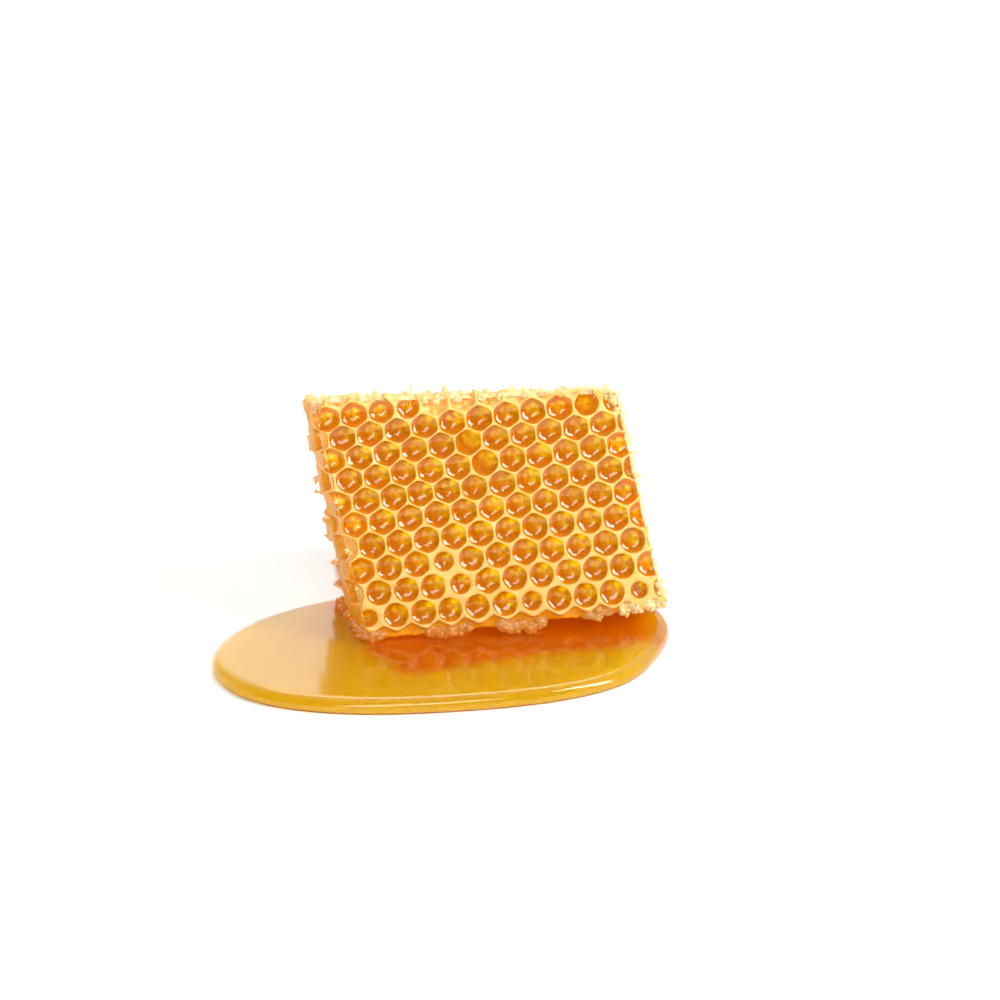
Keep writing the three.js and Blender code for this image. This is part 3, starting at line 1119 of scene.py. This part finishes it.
def wax_material():
    """Pale wax at the rims, orange where honey covers it, with painted light: bright yellow painted at the
    cells' bases, and a painted glow.
    """
    settings = comb_settings()
    shader = Shader(bpy.data.materials.new("Beeswax"))
    stain, base, tone = (shader.attribute(name) for name in ("stain", "base", "tone"))
    patches = shader.noise(2.5 * MM, 3)
    dry = shader.mix((patches * 2.2 - 0.6).clamped(), settings.wax_color, settings.pale_wax_color)
    wet = shader.mix((stain * 1.1).clamped(), dry, settings.wall_color)
    # Painted light: the base layer and the noise lobes paint the cells' bases bright yellow, as if lit
    # through the comb. Here depth is that painted light's share, not a depth.
    lobes = shader.ramp_up(shader.noise(1.3 * MM, 0), 0.36, 0.2)
    depth = (base * (0.35 + lobes * 0.7 + tone * 0.3)).clamped()
    lit = shader.mix(depth, wet, settings.painted_base_light_color)
    # Painted glow: emission on the stained walls, brighter where the bases are painted with light.
    glow = shader.mix((stain * 1.1).clamped(), DARK, settings.painted_wall_glow)
    glow = shader.mix(depth, glow, settings.painted_base_glow)
    ragged = shader.attribute("cut").clamped()
    grain = shader.noise(0.35 * MM, 3) + shader.noise(1.4 * MM, 4) * ragged * 7
    return shader.finish({
        "Base Color": lit,
        "Roughness": 0.42 - stain * 0.25 + ragged * 0.2,
        "Subsurface Weight": 0.35,
        "Subsurface Radius": (1.0, 0.55, 0.2),
        "Subsurface Scale": 1.5 * MM,
        "Coat Weight": 0.25 - ragged * 0.2,
        "Coat Roughness": 0.15,
        "Normal": shader.bump(grain),
    }, glow)


def torn_wax_material():
    """Thin pale wax that lets light through, with a faint painted glow in its own colour."""
    settings = comb_settings()
    shader = Shader(bpy.data.materials.new("Torn_Wax"))
    patches = shader.noise(1.6 * MM, 3)
    pale = shader.mix((patches * 2.5 - 0.75).clamped(), settings.pale_wax_color, settings.torn_color)
    return shader.finish({
        "Base Color": pale,
        "Roughness": 0.3,
        "Subsurface Weight": 0.12,
        "Subsurface Radius": (1.0, 0.8, 0.5),
        "Subsurface Scale": 0.4 * MM,
        "Transmission Weight": 0.2,
        "IOR": 1.44,
        "Normal": shader.bump(shader.noise(0.3 * MM, 3)),
    }, shader.mix(0.85, pale, DARK))


def soaked_wax_material():
    """Crumbly wax full of honey: glassy, with pale grains and a faint painted glow."""
    settings = comb_settings()
    shader = Shader(bpy.data.materials.new("Soaked_Wax"))
    grains = shader.noise(0.8 * MM, 4)
    height = shader.axis(shader.place(), "Z")
    dry = (grains * 3 - 1).clamped() * shader.ramp_up(height, 2.8 * MM, 3 * MM)
    tint = shader.mix(dry, settings.soaked_color, settings.crumb_color)
    return shader.finish({
        "Base Color": tint,
        "Roughness": 0.06,
        "Transmission Weight": 0.8,
        "IOR": 1.45,
        "Coat Weight": 0.5,
        "Coat Roughness": 0.03,
    }, shader.mix(0.92, tint, DARK))


def cell_honey_material():
    settings = comb_settings()
    shader = Shader(bpy.data.materials.new("Cell_Honey"))
    darker = tuple(0.93 * part for part in settings.honey_color)
    tint = shader.mix(shader.attribute("tone"), settings.honey_color, darker)
    return shader.finish({
        "Base Color": tint, "Roughness": 0.02, "IOR": HONEY_INDEX, "Transmission Weight": 1.0,
    })


def pool_material():
    """Clear honey with the comb's shadow painted on it, as a deeper colour in front of the comb."""
    settings = pool_settings()
    shader = Shader(bpy.data.materials.new("Pool_Honey"))
    low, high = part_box("comb")
    place = shader.place()
    across, along = (shader.axis(place, name) for name in "XY")
    # Painted shadow: a deeper tint where the comb's shadow falls, with wavy edges.
    wave = (shader.noise(14 * MM, 2) - 0.5) * 7 * MM
    front_edge = (across - low.x) * SHADE_SLANT + (low.y - settings.shade_reach) + wave
    ripple = (shader.noise(5 * MM, 2) - 0.5) * 8 * MM
    left_edge = (low.y - along) * LEFT_SHADE_SLANT + (low.x + LEFT_SHADE_START) + ripple
    shade = shader.ramp_up(along, front_edge, SHADE_FADE) * shader.ramp_up(across, left_edge, SHADE_FADE)
    shade = shade * (1 - RIGHT_LIGHT * shader.ramp_up(across, high.x - RIGHT_LIGHT_START, RIGHT_LIGHT_FADE))
    return shader.finish({
        "Base Color": shader.mix(shade, (1, 1, 1), settings.shade_color),
        "Roughness": 0.12,
        "IOR": HONEY_INDEX,
        "Transmission Weight": 1.0,
        "Specular IOR Level": 0.3,
    }, volume={"Color": (*settings.color, 1), "Density": settings.density})


def floor_material():
    """A pale floor that turns as white as the wall further away."""
    shader = Shader(bpy.data.materials.new("Floor"))
    color = stage_settings().floor_color
    tint = shader.mix(shader.noise(60 * MM, 2), color, tuple(0.985 * part for part in color))
    away = shader.node("ShaderNodeVectorMath", {"operation": "LENGTH"}, {0: shader.place()}, "Value")
    glow = shader.mix(shader.ramp_up(away, GLOW_START, GLOW_WIDTH), DARK, (0.9, 0.9, 0.9))
    return shader.finish({"Base Color": tint, "Roughness": 0.6, "Specular IOR Level": 0.2}, glow)


def backdrop_material():
    """An even white, a little mottled as a painted wall is."""
    shader = Shader(bpy.data.materials.new("Backdrop"))
    white = shader.mix(shader.noise(0.8, 2), (1.0, 1.0, 1.0), (0.96, 0.96, 0.96))
    return shader.finish({"Base Color": (*DARK, 1), "Roughness": 1.0}, white)


# ---- Operators ----


class HONEYCOMB_OT_wax(bpy.types.Operator):
    """Make the comb's wax, a half for each face"""

    bl_idname = "honeycomb.wax"
    bl_label = "Wax"

    def execute(self, context):
        material = wax_material()
        for name, is_back in (("comb_front", False), ("comb_back", True)):
            subdivide(new_piece(name, make_wax_half(is_back), "beeswax", material, "comb"), 1)
        subdivide(new_piece("smears", make_smears(), "beeswax", material), 1)
        return {"FINISHED"}


class HONEYCOMB_OT_cell_honey(bpy.types.Operator):
    """Fill the cells with honey"""

    bl_idname = "honeycomb.cell_honey"
    bl_label = "Honey in the cells"

    def execute(self, context):
        new_piece("cell_honey", make_cell_honey(), "honey", cell_honey_material())
        return {"FINISHED"}


class HONEYCOMB_OT_torn_wax(bpy.types.Operator):
    """Add the torn wax along the cut sides and the lumps under the comb"""

    bl_idname = "honeycomb.torn_wax"
    bl_label = "Torn wax"

    def execute(self, context):
        torn, soaked = torn_wax_material(), soaked_wax_material()
        subdivide(new_piece("torn_wax", make_flakes(), "beeswax", torn), 1)
        new_piece("torn_walls", make_torn_walls(), "beeswax", torn)
        new_piece("pale_lumps", make_lumps(PALE_LUMPS), "beeswax", torn)
        new_piece("soaked_lumps", make_lumps(LUMPS), "beeswax", soaked)
        new_piece("threads", make_threads(), "beeswax", soaked)
        return {"FINISHED"}


class HONEYCOMB_OT_pool(bpy.types.Operator):
    """Make the pool of honey that the comb stands in"""

    bl_idname = "honeycomb.pool"
    bl_label = "Pool"

    def execute(self, context):
        new_piece("pool", make_pool(), "honey", pool_material(), "honey_pool")
        return {"FINISHED"}


class HONEYCOMB_OT_stage(bpy.types.Operator):
    """Set up the floor, the light and the camera"""

    bl_idname = "honeycomb.stage"
    bl_label = "Stage"

    def execute(self, context):
        make_floor()
        make_light()
        make_camera()
        return {"FINISHED"}


# ---- The stage ----

FLOOR_RADIUS = 4
GLOW_START = 0.25
GLOW_WIDTH = 0.9
LIT_POINT = Vector((0, 0, 0.02))
SENSOR = 36
LENS = 101.8
# Where the comb's lower left corner lies in the picture, from its middle, in widths of the picture.
CORNER_ACROSS = -0.132
CORNER_ABOVE = -0.140


def make_floor():
    """A floor, and round it a white wall that only the camera sees, so that it lights nothing."""
    bm = bmesh.new()
    bmesh.ops.create_circle(bm, cap_ends=True, segments=64, radius=FLOOR_RADIUS)
    add_object("floor", bm, floor_material())
    bm = bmesh.new()
    bmesh.ops.create_uvsphere(bm, u_segments=48, v_segments=24, radius=FLOOR_RADIUS)
    bmesh.ops.reverse_faces(bm, faces=bm.faces)
    wall = add_object("backdrop", bm, backdrop_material())
    for ray in ("diffuse", "glossy", "transmission", "volume_scatter", "shadow"):
        setattr(wall, "visible_" + ray, False)


def away_from(azimuth, elevation):
    """Direction from the comb outwards, both angles from straight in front of it."""
    across, deep = math.sin(azimuth), -math.cos(azimuth)
    return Vector((across * math.cos(elevation), deep * math.cos(elevation), math.sin(elevation)))


def add_panel_light(name, azimuth, elevation, distance, size, brightness, roll=0, tint=(1, 1, 1)):
    """A soft box, hidden from the camera: its angles in degrees, its size as (width, height)."""
    away = away_from(math.radians(azimuth), math.radians(elevation))
    lamp = bpy.data.lights.new(name, "AREA")
    lamp.shape = "RECTANGLE"
    lamp.size, lamp.size_y = size
    lamp.energy = brightness * math.pi * size[0] * size[1]
    lamp.color = tint
    panel = bpy.data.objects.new(name, lamp)
    panel.location = LIT_POINT + away * distance
    panel.rotation_mode = "QUATERNION"
    turn = Matrix.Rotation(math.radians(roll), 3, "Z").to_quaternion()
    panel.rotation_quaternion = away.to_track_quat("Z", "Y") @ turn
    panel.visible_camera = False
    bpy.context.scene.collection.objects.link(panel)


def make_light():
    """A room that is bright behind the comb and dim in front, and soft boxes."""
    settings = stage_settings()
    scene = bpy.context.scene
    scene.view_settings.view_transform = "Standard"
    scene.world = bpy.data.worlds.new("Room")
    room = Shader(scene.world)
    towards = room.node("ShaderNodeTexCoord", {}, {}, "Generated")
    behind = room.ramp(room.axis(towards, "Y"), -0.5, 0.9, settings.front_light, settings.back_light)
    side = room.axis(towards, "X")
    share = room.ramp(side, 0.02, 0.35, 1.0, 0.45)
    left_share = room.ramp(side, -0.6, -0.1, 0.35, 1.0)
    strength = behind * share * left_share
    background = room.node("ShaderNodeBackground", {}, {"Color": (1, 1, 1, 1), "Strength": strength})
    output = room.tree.nodes.new("ShaderNodeOutputWorld")
    room.tree.links.new(background.socket, output.inputs["Surface"])
    add_panel_light("back_light", 168, 58, 0.8, (0.6, 0.2), 4.2)
    add_panel_light("key_light", 60, 33, 0.7, (0.18, 0.52), 16.0, 12)
    add_panel_light("broad_light", -6, 34, 0.9, (0.70, 0.22), 9.1, 38, (1.0, 0.95, 0.84))


def make_camera():
    settings = stage_settings()
    back = away_from(settings.camera_azimuth, settings.camera_elevation)
    turn = (-back).to_track_quat("-Z", "Y")
    right = turn @ Vector((1, 0, 0))
    up = turn @ Vector((0, 1, 0))
    data = bpy.data.cameras.new("camera")
    data.sensor_width = SENSOR
    data.lens = LENS
    focal = data.lens / data.sensor_width
    towards_corner = -back + CORNER_ACROSS / focal * right + CORNER_ABOVE / focal * up
    camera = bpy.data.objects.new("camera", data)
    camera.location = comb_corner(CORNER_HEIGHT * MM) - settings.camera_distance * towards_corner
    camera.rotation_mode = "QUATERNION"
    camera.rotation_quaternion = turn
    bpy.context.scene.collection.objects.link(camera)
    bpy.context.scene.camera = camera


class HONEYCOMB_PT_panel(bpy.types.Panel):
    """Lists what the add-on makes"""

    bl_idname = "HONEYCOMB_PT_panel"
    bl_label = "Honeycomb"
    bl_space_type = "VIEW_3D"
    bl_region_type = "UI"
    bl_category = "Honeycomb"

    def draw(self, context):
        for settings in (comb_settings(), pool_settings(), stage_settings()):
            for name in settings.__annotations__:
                self.layout.prop(settings, name)
        for maker in MAKERS:
            self.layout.operator(maker.bl_idname)


GROUPS = {"comb_settings": CombSettings, "pool_settings": PoolSettings, "stage_settings": StageSettings}
MAKERS = (
    HONEYCOMB_OT_wax, HONEYCOMB_OT_cell_honey, HONEYCOMB_OT_torn_wax, HONEYCOMB_OT_pool, HONEYCOMB_OT_stage
)


def register():
    for group in (*GROUPS.values(), *MAKERS, HONEYCOMB_PT_panel):
        bpy.utils.register_class(group)
    for name, group in GROUPS.items():
        setattr(bpy.types.Scene, name, PointerProperty(type=group))


def unregister():
    for name in GROUPS:
        delattr(bpy.types.Scene, name)
    for group in (HONEYCOMB_PT_panel, *reversed(MAKERS), *GROUPS.values()):
        bpy.utils.unregister_class(group)


def main():
    register()
    bpy.ops.honeycomb.wax()
    bpy.ops.honeycomb.cell_honey()
    bpy.ops.honeycomb.torn_wax()
    bpy.ops.honeycomb.pool()
    bpy.ops.honeycomb.stage()


if __name__ == "__main__":
    main()
